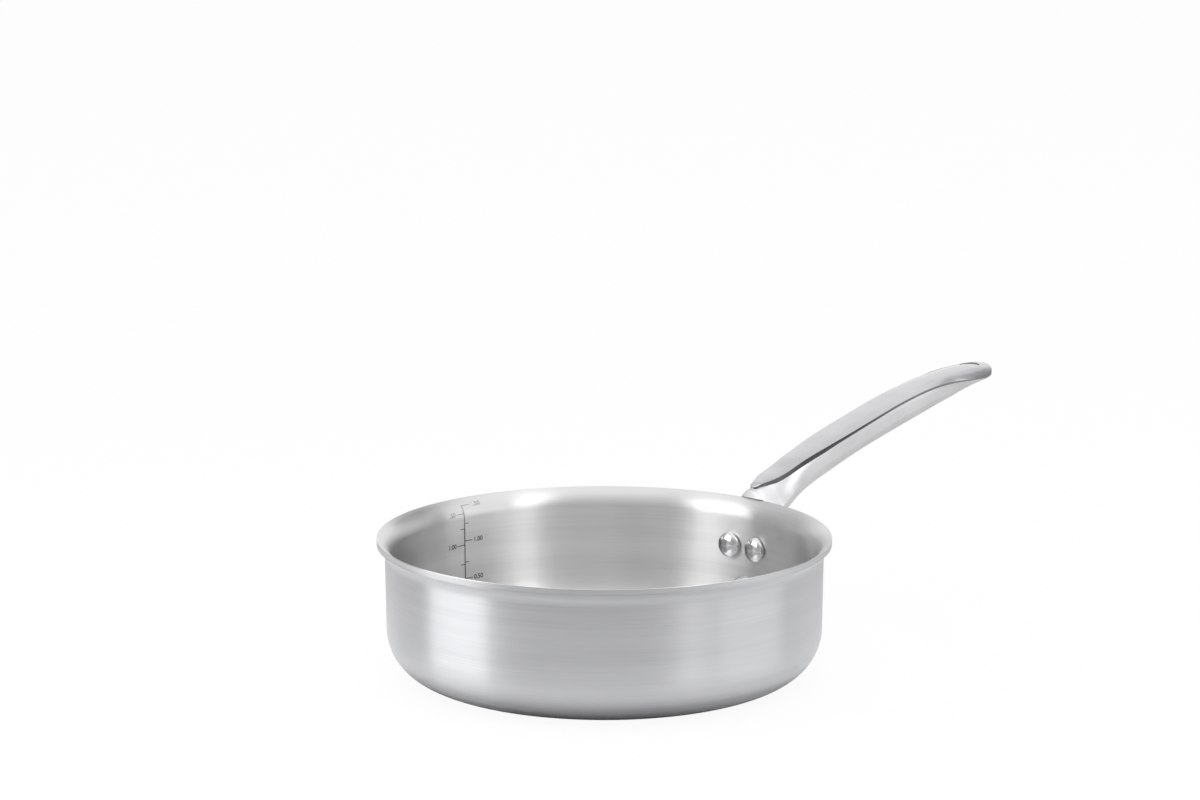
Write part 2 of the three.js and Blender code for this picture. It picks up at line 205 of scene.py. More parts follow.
LIP_START = HEIGHT - lip_run(SHEET)[3]


def sheet_face(depth, corner_steps=28, wall_steps=10, lip_steps=14, floor_steps=10):
    """One face of the sheet as (radius, height) points from the axis to the rim."""
    flat = WALL_RADIUS - CORNER_RADIUS
    points = [(flat * k / floor_steps, depth) for k in range(floor_steps)]
    corner = CORNER_RADIUS - depth
    for k in range(corner_steps + 1):
        turn = math.pi / 2 * k / corner_steps
        points.append((flat + corner * math.sin(turn), CORNER_RADIUS - corner * math.cos(turn)))
    bend, angle, straight, rise = lip_run(depth)
    for k in range(1, wall_steps):
        share = k / wall_steps
        height = CORNER_RADIUS + (LIP_START - CORNER_RADIUS) * share
        points.append((WALL_RADIUS - depth + WALL_DRAFT * share, height))
    wall = WALL_RADIUS + WALL_DRAFT - depth
    for k in range(lip_steps + 1):
        turn = angle * k / lip_steps
        points.append((wall + bend * (1 - math.cos(turn)), LIP_START + bend * math.sin(turn)))
    if straight > NO_STRAIGHT:
        points.append((RIM_RADIUS, LIP_START + rise))
    return points


def bent(start, corner, end, steps):
    """Points of a curve from one point to another that bends towards the corner between them."""
    points = []
    for k in range(steps + 1):
        t = k / steps
        points.append(tuple(start * (1 - t) ** 2 + corner * 2 * t * (1 - t) + end * t * t))
    return points


def rounded_corner(before, corner, after, radius, steps=5):
    """Points of an arc that eases a corner between two straight runs."""
    corner = Vector(corner)
    ahead = (Vector(after) - corner).normalized()
    back = (Vector(before) - corner).normalized()
    half = back.angle(ahead) / 2
    reach = radius / math.tan(half)
    return bent(corner + back * reach, corner, corner + ahead * reach, steps)


def revolve(profile, segments, closed=True):
    """Vertices and faces of a profile of (radius, height) points turned round Z.

    The copies of a point on the axis are one vertex.
    """
    vertices = []
    rows = []
    for radius, height in profile:
        if radius < ON_AXIS:
            rows.append([len(vertices)] * segments)
            vertices.append((0, 0, height))
            continue
        rows.append(list(range(len(vertices), len(vertices) + segments)))
        for k in range(segments):
            turn = 2 * math.pi * k / segments
            vertices.append((radius * math.cos(turn), radius * math.sin(turn), height))
    faces = []
    following = rows[1:] + rows[:1] if closed else rows[1:]
    for low, high in zip(rows, following):
        for k in range(segments):
            nxt = (k + 1) % segments
            face = []
            for corner in (low[k], low[nxt], high[nxt], high[k]):
                if corner not in face:
                    face.append(corner)
            if len(face) > 2:
                faces.append(face)
    return vertices, faces


# Materials

# The range that a noise texture mostly stays in
NOISE_LOW, NOISE_HIGH = 0.3, 0.7
# Brushing as turned coordinates: how often it varies along the lines and across them
FINE_BRUSHING = (1.2, 2600)
WIDE_BRUSHING = (0.7, 130)
POLISHING_STRETCH = (60, 900, 900)
WAVE_SCALE = 70
GRAIN_SCALE = 2500
# Bumps as strength and distance in metres
BRUSHING_BUMP = (0.12, 0.00004)
WAVE_BUMP = (0.05, 0.0003)
# The painted shade in the groove is darkest at a place along X, and pales between two distances from there, in
# metres
GROOVE_SHADE_FADE = (0.152, 0.02, 0.068)
FADE_RIPPLE = 0.2
# The heights in metres between which the etched mark grows paler
MARK_PALING = (0.048, 0.06)


def new_material(name):
    material = bpy.data.materials.new(name)
    material.use_nodes = True
    nodes = material.node_tree.nodes
    return material, nodes, material.node_tree.links, nodes["Principled BSDF"]


def math_node(nodes, links, operation, first, second=None):
    node = nodes.new("ShaderNodeMath")
    node.operation = operation
    for socket, value in zip(node.inputs, (first, second)):
        if value is None:
            continue
        if isinstance(value, (int, float)):
            socket.default_value = value
        else:
            links.new(value, socket)
    return node.outputs[0]


def noise_node(nodes, links, vector, scale, detail=3, roughness=0.55):
    node = nodes.new("ShaderNodeTexNoise")
    node.inputs["Scale"].default_value = scale
    node.inputs["Detail"].default_value = detail
    node.inputs["Roughness"].default_value = roughness
    links.new(vector, node.inputs["Vector"])
    return node.outputs["Fac"]


def range_node(nodes, links, value, low, high, new_low, new_high):
    node = nodes.new("ShaderNodeMapRange")
    links.new(value, node.inputs["Value"])
    for name, number in (("From Min", low), ("From Max", high), ("To Min", new_low), ("To Max", new_high)):
        node.inputs[name].default_value = number
    return node.outputs["Result"]


def turned_coordinates(nodes, links, along, across):
    """Coordinates that run round the pan's axis: long in the direction of the brushing, short across it."""
    place = nodes.new("ShaderNodeTexCoord").outputs["Object"]
    split = nodes.new("ShaderNodeSeparateXYZ")
    links.new(place, split.inputs[0])
    x, y, z = split.outputs
    squares = [math_node(nodes, links, "MULTIPLY", side, side) for side in (x, y)]
    radius = math_node(nodes, links, "SQRT", math_node(nodes, links, "ADD", *squares))
    unit = nodes.new("ShaderNodeCombineXYZ")
    links.new(math_node(nodes, links, "DIVIDE", x, radius), unit.inputs[0])
    links.new(math_node(nodes, links, "DIVIDE", y, radius), unit.inputs[1])
    round_the_axis = nodes.new("ShaderNodeVectorMath")
    round_the_axis.operation = "SCALE"
    links.new(unit.outputs[0], round_the_axis.inputs[0])
    round_the_axis.inputs["Scale"].default_value = along
    level = math_node(nodes, links, "MULTIPLY", math_node(nodes, links, "ADD", z, radius), across)
    joined = nodes.new("ShaderNodeVectorMath")
    joined.operation = "ADD"
    lift = nodes.new("ShaderNodeCombineXYZ")
    links.new(level, lift.inputs[2])
    links.new(round_the_axis.outputs[0], joined.inputs[0])
    links.new(lift.outputs[0], joined.inputs[1])
    return joined.outputs[0]


def colour_between(nodes, links, value, dark, light, low=NOISE_LOW, high=NOISE_HIGH):
    ramp = nodes.new("ShaderNodeValToRGB")
    ramp.color_ramp.elements[0].position = low
    ramp.color_ramp.elements[0].color = (*dark, 1)
    ramp.color_ramp.elements[1].position = high
    ramp.color_ramp.elements[1].color = (*light, 1)
    links.new(value, ramp.inputs[0])
    return ramp.outputs[0]


def bump_node(nodes, links, height, strength, distance):
    node = nodes.new("ShaderNodeBump")
    node.inputs["Strength"].default_value = strength
    node.inputs["Distance"].default_value = distance
    links.new(height, node.inputs["Height"])
    return node.outputs["Normal"]


def brushed_steel(name, dark, light, roughness, anisotropy):
    """Steel brushed round the pan's axis: fine lines and soft wider bands, in colour, gloss and bump."""
    material, nodes, links, shader = new_material(name)
    shader.inputs["Metallic"].default_value = 1
    shader.inputs["Anisotropic"].default_value = anisotropy
    shader.inputs["Anisotropic Rotation"].default_value = 0.25
    tangent = nodes.new("ShaderNodeTangent")
    tangent.direction_type = "RADIAL"
    tangent.axis = "Z"
    links.new(tangent.outputs[0], shader.inputs["Tangent"])
    fine = noise_node(nodes, links, turned_coordinates(nodes, links, *FINE_BRUSHING), 1, 4, 0.7)
    wide = noise_node(nodes, links, turned_coordinates(nodes, links, *WIDE_BRUSHING), 1, 3, 0.5)
    halves = [math_node(nodes, links, "MULTIPLY", noise, 0.5) for noise in (fine, wide)]
    blend = math_node(nodes, links, "ADD", *halves)
    links.new(colour_between(nodes, links, blend, dark, light), shader.inputs["Base Color"])
    spread = (roughness - 0.05, roughness + 0.05)
    links.new(range_node(nodes, links, blend, NOISE_LOW, NOISE_HIGH, *spread), shader.inputs["Roughness"])
    links.new(bump_node(nodes, links, fine, *BRUSHING_BUMP), shader.inputs["Normal"])
    return material


def polished_steel(name, dark, light, roughness, metallic=1, fade=None):
    """A polished surface with a faint waviness and fine polishing lines along the handle.

    With a fade, the colour goes from dark to light between two distances from a place along the handle.
    """
    material, nodes, links, shader = new_material(name)
    shader.inputs["Metallic"].default_value = metallic
    place = nodes.new("ShaderNodeTexCoord").outputs["Object"]
    stretch = nodes.new("ShaderNodeMapping")
    stretch.inputs["Scale"].default_value = POLISHING_STRETCH
    links.new(place, stretch.inputs["Vector"])
    lines = noise_node(nodes, links, stretch.outputs[0], 1, 3, 0.6)
    wave = noise_node(nodes, links, place, WAVE_SCALE, 2, 0.5)
    value, low, high = wave, NOISE_LOW, NOISE_HIGH
    if fade:
        middle, near, far = fade
        split = nodes.new("ShaderNodeSeparateXYZ")
        links.new(place, split.inputs[0])
        offset = math_node(nodes, links, "SUBTRACT", split.outputs["X"], middle)
        away = math_node(nodes, links, "ABSOLUTE", offset)
        further = range_node(nodes, links, away, near, far, 0, 1)
        ripple = math_node(nodes, links, "MULTIPLY", wave, FADE_RIPPLE)
        value, low, high = math_node(nodes, links, "ADD", ripple, further), 0, 1 + FADE_RIPPLE
    links.new(colour_between(nodes, links, value, dark, light, low, high), shader.inputs["Base Color"])
    spread = (roughness - 0.03, roughness + 0.04)
    links.new(range_node(nodes, links, lines, NOISE_LOW, NOISE_HIGH, *spread), shader.inputs["Roughness"])
    links.new(bump_node(nodes, links, wave, *WAVE_BUMP), shader.inputs["Normal"])
    return material


def etched_mark(name):
    """The matt dark grey of a mark etched into the steel, growing paler towards the rim."""
    material, nodes, links, shader = new_material(name)
    shader.inputs["Metallic"].default_value = 0.6
    place = nodes.new("ShaderNodeTexCoord").outputs["Object"]
    grain = noise_node(nodes, links, place, GRAIN_SCALE, 2, 0.6)
    height = nodes.new("ShaderNodeSeparateXYZ")
    links.new(place, height.inputs[0])
    paling = range_node(nodes, links, height.outputs["Z"], *MARK_PALING, 0, 1)
    value = math_node(nodes, links, "ADD", math_node(nodes, links, "MULTIPLY", grain, 0.3), paling)
    dark, paler_grey = (0.08, 0.08, 0.085), (0.45, 0.45, 0.455)
    links.new(colour_between(nodes, links, value, dark, paler_grey, 0.1, 1), shader.inputs["Base Color"])
    links.new(range_node(nodes, links, grain, NOISE_LOW, NOISE_HIGH, 0.5, 0.65), shader.inputs["Roughness"])
    return material


# Each has its name, its darkest and lightest colour and its roughness
OUTER_STEEL = brushed_steel(
    "outer_brushed_steel", (0.59, 0.595, 0.61), (0.72, 0.725, 0.74), 0.36, anisotropy=0.95)
INNER_STEEL = brushed_steel(
    "inner_brushed_steel", (0.67, 0.67, 0.67), (0.79, 0.79, 0.79), 0.32, anisotropy=0.98)
CORE_METAL = brushed_steel("core_aluminium", (0.62, 0.63, 0.64), (0.74, 0.75, 0.76), 0.36, anisotropy=0.4)
CAST_STEEL = polished_steel("cast_polished_steel", (0.6, 0.6, 0.62), (0.66, 0.66, 0.68), 0.12)
SATIN_STEEL = polished_steel("cast_satin_steel", (0.76, 0.76, 0.77), (0.82, 0.82, 0.83), 0.33)
# Painted shade: a dark grey on the top face's edge, in the groove under it and atop the hanging hole's wall,
# standing for the shade in these hollows
GROOVE_PAINTED_SHADE = polished_steel(
    "painted_shade_groove", (0.05, 0.05, 0.055), (0.3, 0.3, 0.305), 0.3, fade=GROOVE_SHADE_FADE)
# Painted light: a near-white wall in the hanging hole below its painted shade, standing for light that shows
# through the hole
HOLE_PAINTED_LIGHT = polished_steel("painted_light_hole", (0.92, 0.92, 0.92), (0.97, 0.97, 0.97), 0.6, metallic=0)
RIVET_STEEL = polished_steel("rivet_polished_steel", (0.66, 0.66, 0.67), (0.74, 0.74, 0.75), 0.1)
MARK = etched_mark("etched_mark")
# The handle's materials, and the indices of those that single faces of it have
HANDLE_MATERIALS = (CAST_STEEL, GROOVE_PAINTED_SHADE, HOLE_PAINTED_LIGHT, SATIN_STEEL)
PAINTED_SHADE_INDEX, HOLE_LIGHT_INDEX, SATIN_INDEX = 1, 2, 3


# The vessel: three bonded plies


def ply(name, node, outer_depth, inner_depth, material, slot, round_lower=False, round_upper=False):
    """One sheet between two depths inside the pan's outer face, with an eased edge where it shows."""
    outside = sheet_face(outer_depth)
    inside = sheet_face(inner_depth)
    if round_lower:
        outside[-1:] = rounded_corner(outside[-2], outside[-1], inside[-1], LIP_EDGE_ROUND)
    if round_upper:
        inside[-1:] = reversed(rounded_corner(outside[-1], inside[-1], inside[-2], LIP_EDGE_ROUND))
    vertices, faces = revolve(outside + inside[::-1], TURN_SEGMENTS)
    obj = add_object(name, vertices, faces, material, slot, PLY_SMOOTH_ANGLE)
    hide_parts(node)


CORE_OUTSIDE = SKIN + BOND_GAP
CORE_INSIDE = SHEET - SKIN - BOND_GAP
ply("outer_skin", "outer_ply", 0, SKIN, OUTER_STEEL, "outer_skin", round_lower=True)
ply("core_sheet", "core_ply", CORE_OUTSIDE, CORE_INSIDE, CORE_METAL, "core")
ply("inner_skin", "inner_ply", SHEET - SKIN, SHEET, INNER_STEEL, "inner_skin", round_upper=True)


# The rivets


def rivet(name, node, turn, height):
    """A domed head inside the wall, a shank and a lower dome outside the pad, as one revolved solid."""
    wall = WALL_RADIUS - SHEET - SEAT_CLEARANCE
    tail = PAD_FACE_RADIUS + SEAT_CLEARANCE
    profile = []
    for k in range(RIVET_STEPS + 1):
        angle = math.pi / 2 * k / RIVET_STEPS
        top = wall - RIVET_HEAD_HEIGHT + (RIVET_HEAD_HEIGHT - RIVET_RIM) * (1 - math.cos(angle))
        profile.append((RIVET_HEAD_RADIUS * math.sin(angle), top))
    profile.append((RIVET_HEAD_RADIUS - RIVET_EDGE_ROUND, wall + RIVET_EDGE_ROUND))
    profile += [(RIVET_SHANK_RADIUS, wall + RIVET_SEAT), (RIVET_SHANK_RADIUS, tail)]
    for k in range(RIVET_STEPS + 1):
        angle = math.pi / 2 * (1 - k / RIVET_STEPS)
        profile.append((RIVET_TAIL_RADIUS * math.sin(angle), tail + RIVET_TAIL_HEIGHT * math.cos(angle)))
    vertices, faces = revolve(profile, RIVET_SEGMENTS, closed=False)
    lift = Matrix.Translation((0, 0, height)) @ Matrix.Rotation(math.pi / 2, 4, "Y")
    place = Matrix.Rotation(turn, 4, "Z") @ lift
    obj = add_object(name, [place @ Vector(v) for v in vertices], faces, RIVET_STEEL, "rivets")
    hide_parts(node)


RIVET_TURN = RIVET_SPACING / 2 / (WALL_RADIUS - SHEET)
rivet("rivet_head_left", "rivet_left", RIVET_TURN, UPPER_RIVET_HEIGHT)
rivet("rivet_head_right", "rivet_right", -RIVET_TURN, UPPER_RIVET_HEIGHT)
rivet("rivet_head_lower", "rivet_lower", 0, LOWER_RIVET_HEIGHT)


# The handle's form as curves of reach, the distance outward from the rim, a little finer than the CAD solid's

END = HANDLE_REACH
WIDE = HANDLE_HALF_WIDTH
EDGE_RISE = [
    (NOSE_REACH, 5.2), (1, 6), (3.2, 6.9), (6, 7.6), (8, 8.1), (18, 10.7), (30, 14.7), (48, 19.8),
    (END - 97, HANDLE_RISE - 10.6), (END - 77, HANDLE_RISE - 5.8), (END - 57, HANDLE_RISE - 2.1),
    (END - 42, HANDLE_RISE - 0.4), (END - 27, HANDLE_RISE), (END - 12, HANDLE_RISE), (END, HANDLE_RISE - 0.3),
]
TOP_WIDTH = [
    (NOSE_REACH, 1.8), (1, 2.3), (3.2, 3), (5, 3.7), (8, 4.8), (10, WIDE - 3.5), (14, WIDE - 2.9),
    (22, WIDE - 2.5), (35, WIDE - 1.8), (48, WIDE - 0.8), (64, WIDE - 0.2), (END - 60, WIDE),
    (END - 45, WIDE + 0.7), (END - 36, WIDE + 1.8), (END - 29, PADDLE_HALF_WIDTH - 1.2),
    (END - 23, PADDLE_HALF_WIDTH - 0.1), (END - PADDLE_ROUND, PADDLE_HALF_WIDTH),
]
CROWN_RISE = [
    (NOSE_REACH, 0.2), (18, 0.4), (60, 0.6), (END - 57, 0.9), (END - 40, 2.6), (END - 25, 3.5),
    (END - 10, 4.1), (END, 3.9),
]
EDGE_THICKNESS = [(NOSE_REACH, 0.4), (4, 0.6), (END - 30, 0.6), (END - 12, 1.2), (END, 2.8)]
GROOVE_DROP = [
    (NOSE_REACH, 0.8), (2, 1.1), (4, 1.5), (8, 1.9), (12, 2.3), (30, 2.6), (42, 2.5), (55, 1.8), (75, 1.4),
    (END - 60, 1.1), (END - 30, 1), (END - 12, 1.4), (END, 3.1),
]
FLANK_WIDTH = [
    (RAMP_START, 9.6), (3.2, 10.8), (8, 11.2), (12, 10.8), (18, 9.5), (24, 8), (30, 7), (38, 6.9),
    (48, WIDE - 1.4), (68, WIDE - 0.8), (END - 51, WIDE - 0.2), (END - 31, WIDE - 0.2), (END - 14, WIDE - 1.4),
    (END, 4),
]
FLANK_DROP = [
    (NOSE_REACH, 8.7), (1, 9.5), (3.2, 10.4), (6, 10.9), (8, 11.1), (18, 10.6), (28, 9.8), (48, 9), (70, 8.2),
    (END - 77, 8.2), (END - 51, 7.2), (END - 37, 6), (END - 27, 4.9), (END - 17, 4), (END, 3.6),
]
BOTTOM_WIDTH = [
    (RAMP_START, 10.2), (3.2, 12), (8, 11.8), (12, 10.6), (18, 9), (24, 7.4), (30, 6.5), (38, 6.2),
    (48, WIDE - 2.5), (68, WIDE - 1.9), (END - 51, WIDE - 1.6), (END - 31, WIDE - 2), (END - 14, WIDE - 3.4),
    (END, 3),
]
BOTTOM_DROP = [
    (NOSE_REACH, 15.9), (1, 16.7), (3.2, 17.6), (6, 17.7), (8, 17.6), (12, 15.6), (18, 15), (28, 14.9),
    (48, 13.7), (70, 12.3), (END - 77, 12.2), (END - 57, 11.4), (END - 37, 9), (END - 27, 7), (END - 17, 5.5),
    (END - 7, 4.6), (END, 4.2),
]
# How much of the flank's section is the root's bell shape, the rest being the grip's rounded flank
BELL_SHARE = [(NOSE_REACH, 1), (12, 1), (21, 0.5), (30, 0), (END, 0)]
BELL_POWER = 1.3
GRIP_POWER = 0.6
RAMP_RISE = [(RAMP_START, -2.4), (-0.8, 1), (NOSE_REACH, 4.2)]
RAMP_SHARES = [0, 0.06, 0.12, 0.18, 0.2, 0.22, 0.25, 0.42, 0.62, 0.82]
TOP_SHARES = [0, 0.35, 0.7, 0.93, 1]
FLANK_PARTS = (0.25, 0.5, 0.75)
MOST_FLANK_START = 0.95
GROOVE_DEPTH = 0.8
LEAST_TOP_WIDTH = 0.05
LEAST_FLANK_DROP = 0.3
LEAST_BOTTOM_DROP = 0.4
BOW_BOTTOM_SHARE = 0.9
SIDE_BULGE = 0.3
KEEL_DROP = 0.4
# The radii that ease the section's corners, where the neighbours leave room
WIDE_EASE = 20
EDGE_EASE = 0.25
UNDER_EDGE_EASE = 0.2
GROOVE_EASE = 0.6
FLANK_EASE = 2.5
SIDE_EASE = 6
BOTTOM_EASE = 2
EASE_STEPS = 5
# How much of a run between two corners an easing may take, and the half angles that it allows for
EASE_SHARE = 0.48
LEAST_HALF_ANGLE = 0.02
MOST_HALF_ANGLE = math.pi / 2 - 0.001
# The points of an eased half section that lie on the edge of the top face and in the groove under it
GROOVE_START = 3 * (EASE_STEPS + 1) + 1
GROOVE_STOP = 6 * (EASE_STEPS + 1)
# How many sections the handle has along its stretches, and how far the first and last lie from their ends
RAMP_STEPS = 8
NOSE_STEPS = 6
ROOT_LENGTH = 8
ROOT_STEPS = 20
GRIP_STEPS = 120
PADDLE_STEPS = 28
NOSE_MARGIN = 0.01
END_MARGIN = 0.004


def along(pairs, reach):
    """The value at a reach of a smooth curve through pairs of reach and value."""
    last = len(pairs) - 1
    index = max([k for k in range(last) if pairs[k][0] <= reach], default=0)

    def slope(k):
        low, high = pairs[max(0, k - 1)], pairs[min(last, k + 1)]
        return (high[1] - low[1]) / (high[0] - low[0])

    (x0, y0), (x1, y1) = pairs[index], pairs[index + 1]
    run = x1 - x0
    t = min(1, max(0, (reach - x0) / run))
    start = (1 + 2 * t) * (1 - t) ** 2 * y0 + t * (1 - t) ** 2 * run * slope(index)
    return start + t * t * (3 - 2 * t) * y1 + t * t * (t - 1) * run * slope(index + 1)


def bell(share):
    """The height of the root's bell-shaped section at a share of its half width, where 1 is the full height."""
    return (1 - share ** 2) ** BELL_POWER


def flank_corners(reach, groove, groove_level, flank, flank_level):
    """Three points of the flank between the groove and the flank line, each with its easing radius."""
    corners = []
    weight = along(BELL_SHARE, reach)
    start = min(MOST_FLANK_START, groove / flank)
    for part in FLANK_PARTS:
        share = start + (1 - start) * part
        bell_level = flank_level + (groove_level - flank_level) * bell(share) / bell(start)
        grip_width = groove + (flank - groove) * part ** GRIP_POWER
        grip_level = groove_level + (flank_level - groove_level) * part
        width = weight * flank * share + (1 - weight) * grip_width
        corners.append(((width, weight * bell_level + (1 - weight) * grip_level), WIDE_EASE))
    return corners


def half_section(reach):
    """The corners of the handle's half section, each with the radius that eases it.

    Short of the nose the section is the bell-shaped ramp that climbs from the rim to the top face.
    """
    edge = HEIGHT + along(EDGE_RISE, max(reach, NOSE_REACH))
    flank, flank_level = along(FLANK_WIDTH, reach), edge - along(FLANK_DROP, reach)
    bottom, bottom_level = along(BOTTOM_WIDTH, reach), edge - along(BOTTOM_DROP, reach)
    if reach < NOSE_REACH:
        climb = HEIGHT + along(RAMP_RISE, reach) - flank_level
        corners = [((flank * share, flank_level + climb * bell(share)), WIDE_EASE) for share in RAMP_SHARES]
    else:
        nose = max(0, (NOSE_REACH + NOSE_ROUND - reach) / NOSE_ROUND)
        bow = max(0, (reach - END + PADDLE_ROUND) / PADDLE_ROUND)
        full = along(TOP_WIDTH, reach)
        top = max(LEAST_TOP_WIDTH, full * math.sqrt(max(0, 1 - max(nose, bow) ** 2)))
        groove = top - min(GROOVE_DEPTH, top / 3)
        crown_rise = along(CROWN_RISE, reach)
        crowns = [edge + crown_rise * (1 - (top * share / full) ** 2) for share in TOP_SHARES]
        groove_level = crowns[-1] - along(GROOVE_DROP, reach)
        if bow > 0:
            flank = min(flank, groove)
            bottom = min(bottom, flank * BOW_BOTTOM_SHARE)
        flank_level = min(flank_level, groove_level - LEAST_FLANK_DROP)
        bottom_level = min(bottom_level, flank_level - LEAST_BOTTOM_DROP)
        corners = [((top * share, crown), WIDE_EASE) for share, crown in zip(TOP_SHARES, crowns)]
        corners[-1] = ((top, crowns[-1]), EDGE_EASE)
        corners.append(((top, crowns[-1] - along(EDGE_THICKNESS, reach)), UNDER_EDGE_EASE))
        corners.append(((groove, groove_level), GROOVE_EASE))
        corners += flank_corners(reach, groove, groove_level, flank, flank_level)
    return corners + [
        ((flank, flank_level), FLANK_EASE),
        (((flank + bottom) / 2 + SIDE_BULGE, (flank_level + bottom_level) / 2), SIDE_EASE),
        ((bottom, bottom_level), BOTTOM_EASE),
        ((0, bottom_level - KEEL_DROP), 0),
    ]


def eased(corners, steps=EASE_STEPS):
    """A line of points through corners, each eased by its radius as far as its neighbours leave room."""
    points = [corners[0][0]]
    for (before, _), (corner, radius), (after, _) in zip(corners, corners[1:], corners[2:]):
        here = Vector(corner)
        back, ahead = Vector(before) - here, Vector(after) - here
        half = max(LEAST_HALF_ANGLE, min(MOST_HALF_ANGLE, back.angle(ahead) / 2))
        reach = min(radius / math.tan(half), EASE_SHARE * back.length, EASE_SHARE * ahead.length)
        points += bent(here + back.normalized() * reach, here, here + ahead.normalized() * reach, steps)
    points.append(corners[-1][0])
    return points


def loft(rings):
    """Vertices and faces that join equal rings of points, closed at both ends."""
    count = len(rings[0])
    faces = []
    for ring in range(len(rings) - 1):
        for k in range(count):
            a, b = ring * count + k, ring * count + (k + 1) % count
            faces.append((a, a + count, b + count, b))
    faces.append(list(range(count)))
    faces.append(list(range((len(rings) - 1) * count, len(rings) * count)))
    return [point for ring in rings for point in ring], faces


def handle_stations():
    """Reaches at which the handle's section is taken: close together at the ramp, the nose and the tip."""
    ramp = [RAMP_START + (NOSE_REACH - RAMP_START) * k / RAMP_STEPS for k in range(RAMP_STEPS)]
    turns = [math.pi / 2 * k / NOSE_STEPS for k in range(NOSE_STEPS)]
    nose = [NOSE_REACH + NOSE_ROUND * (1 - math.cos(turn)) for turn in turns]
    nose += [NOSE_REACH + NOSE_ROUND + ROOT_LENGTH * k / ROOT_STEPS for k in range(ROOT_STEPS)]
    start, end = NOSE_REACH + NOSE_ROUND + ROOT_LENGTH, END - PADDLE_ROUND
    grip = [start + (end - start) * k / GRIP_STEPS for k in range(GRIP_STEPS)]
    turns = [math.pi / 2 * k / PADDLE_STEPS for k in range(PADDLE_STEPS)]
    paddle = [END - PADDLE_ROUND * (1 - math.sin(turn)) for turn in turns]
    return ramp + [NOSE_REACH - NOSE_MARGIN] + nose + grip + paddle + [END - END_MARGIN]


def grip_mesh():
    """The grip: the top face's edge and the groove under it carry a painted shade, and the satin flanks and
    ramp have a material of their own.
    """
    rings = []
    stations = handle_stations()
    for reach in stations:
        right = eased(half_section(reach))
        left = [(-y, z) for y, z in right[-2:0:-1]]
        rings.append([(RIM_RADIUS + reach, y, z) for y, z in right + left])
    vertices, faces = loft(rings)
    count = len(rings[0])
    groove = set(range(GROOVE_START, GROOVE_STOP))
    first = stations.index(NOSE_REACH) * count
    places = {k: min(k % count, count - 1 - k % count) for k in range(len(faces) - 2)}
    # Faces on the top face's edge and in the groove take the painted shade
    painted_shade_faces = [k for k, place in places.items() if k >= first and place in groove]
    satin = [k for k, place in places.items() if k < first or place >= GROOVE_STOP]
    marks = {PAINTED_SHADE_INDEX: painted_shade_faces, SATIN_INDEX: satin}
    obj = add_object("grip_blank", vertices, faces, None, None, marked_faces=marks)
    triangulate(obj.data)
    for material in HANDLE_MATERIALS:
        obj.data.materials.append(material)
    return obj


def pad_outline():
    """The pad's outline across the wall: a triangle with rounded corners round the rivets."""
    wide, high = RIVET_SPACING / 2 + PAD_SPREAD, PAD_TOP_HEIGHT - PAD_MARGIN
    corners = [(0, LOWER_RIVET_HEIGHT), (wide, high), (-wide, high)]
    outline = []
    for k, (y, z) in enumerate(corners):
        before, after = corners[k - 1], corners[(k + 1) % 3]
        start = math.atan2(before[0] - y, z - before[1])
        end = math.atan2(y - after[0], after[1] - z)
        end += 2 * math.pi if end < start else 0
        for step in range(PAD_CORNER_STEPS + 1):
            turn = start + (end - start) * step / PAD_CORNER_STEPS
            outline.append((y + PAD_MARGIN * math.cos(turn), z + PAD_MARGIN * math.sin(turn)))
    return outline


def pad_mesh():
    """The pad as a plate that follows the wall, with an eased outer edge."""
    outline = pad_outline()
    middle = sum(z for _, z in outline) / len(outline)
    layers = [(WALL_RADIUS - PAD_DEPTH, 1)]
    for k in range(PAD_EDGE_STEPS + 1):
        turn = math.pi / 2 * k / PAD_EDGE_STEPS
        inset = PAD_EDGE_ROUND * (1 - math.cos(turn)) / PAD_HALF_SIZE
        layers.append((PAD_FACE_RADIUS - PAD_EDGE_ROUND * (1 - math.sin(turn)), 1 - inset))
    layers += [(PAD_FACE_RADIUS, share) for share in PAD_FACE_SHARES]
    rings = []
    for radius, share in layers:
        ring = []
        for y, z in outline:
            across, level = y * share, middle + (z - middle) * share
            ring.append((math.sqrt(radius ** 2 - across ** 2), across, level))
        rings.append(ring)
    return add_object("pad_blank", *loft(rings), None, None)


def hole_mesh(radius, levels, segments=64):
    """A plain upright bar that cuts the hanging hole, whose wall takes a painted light below the middle level
    and a painted shade above it.
    """
    place = RIM_RADIUS + HANDLE_REACH - HANGING_HOLE_INSET
    turns = [2 * math.pi * k / segments for k in range(segments)]
    ring = [(place + radius * math.cos(turn), radius * math.sin(turn)) for turn in turns]
    vertices, faces = loft([[(x, y, level) for x, y in ring] for level in levels])
    marks = {HOLE_LIGHT_INDEX: range(segments), PAINTED_SHADE_INDEX: range(segments, 2 * segments)}
    return add_object("hole_bar", vertices, faces, None, None, marked_faces=marks)


def combined(target, steps):
    """The target after joins and cuts by other meshes, which are then deleted."""
    for tool, operation in steps:
        modifier = target.modifiers.new(tool.name, "BOOLEAN")
        modifier.operation = operation
        modifier.solver = "EXACT"
        modifier.object = tool
    graph = bpy.context.evaluated_depsgraph_get()
    shaped = bpy.data.meshes.new_from_object(target.evaluated_get(graph))
    target.modifiers.clear()
    target.data = shaped
    for tool, _ in steps:
        bpy.data.objects.remove(tool)
    return target


